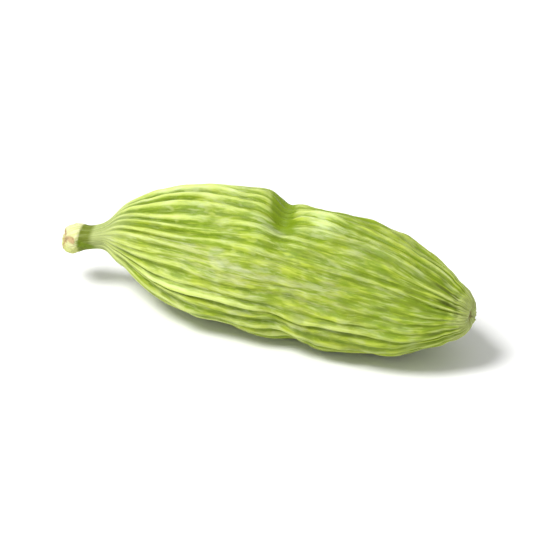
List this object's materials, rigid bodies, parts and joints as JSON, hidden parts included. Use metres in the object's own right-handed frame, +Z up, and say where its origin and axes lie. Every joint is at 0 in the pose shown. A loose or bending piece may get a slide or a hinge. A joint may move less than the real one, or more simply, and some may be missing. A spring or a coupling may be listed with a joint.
{
  "type": "green cardamom pod",
  "caption": "Whole dried green cardamom pod: a plump ribbed three-sided husk that tapers to a short pale stalk at one end and a blunt tip at the other, lying on one face.",
  "frame": {"origin": "centre of the pod's box, at the height of the surface it lies on", "axes": "+X along the pod from the stalk towards the tip, +Z up, +Y towards the far side as the pod lies"},
  "size_m": [0.022, 0.0072, 0.0068],
  "materials": {
    "husk": "dry papery husk with pale ribs, darker green furrows and a cream stalk"
  },
  "bodies": {
    "root": {"cardamom_pod": "husk"}
  },
  "joints": []
}
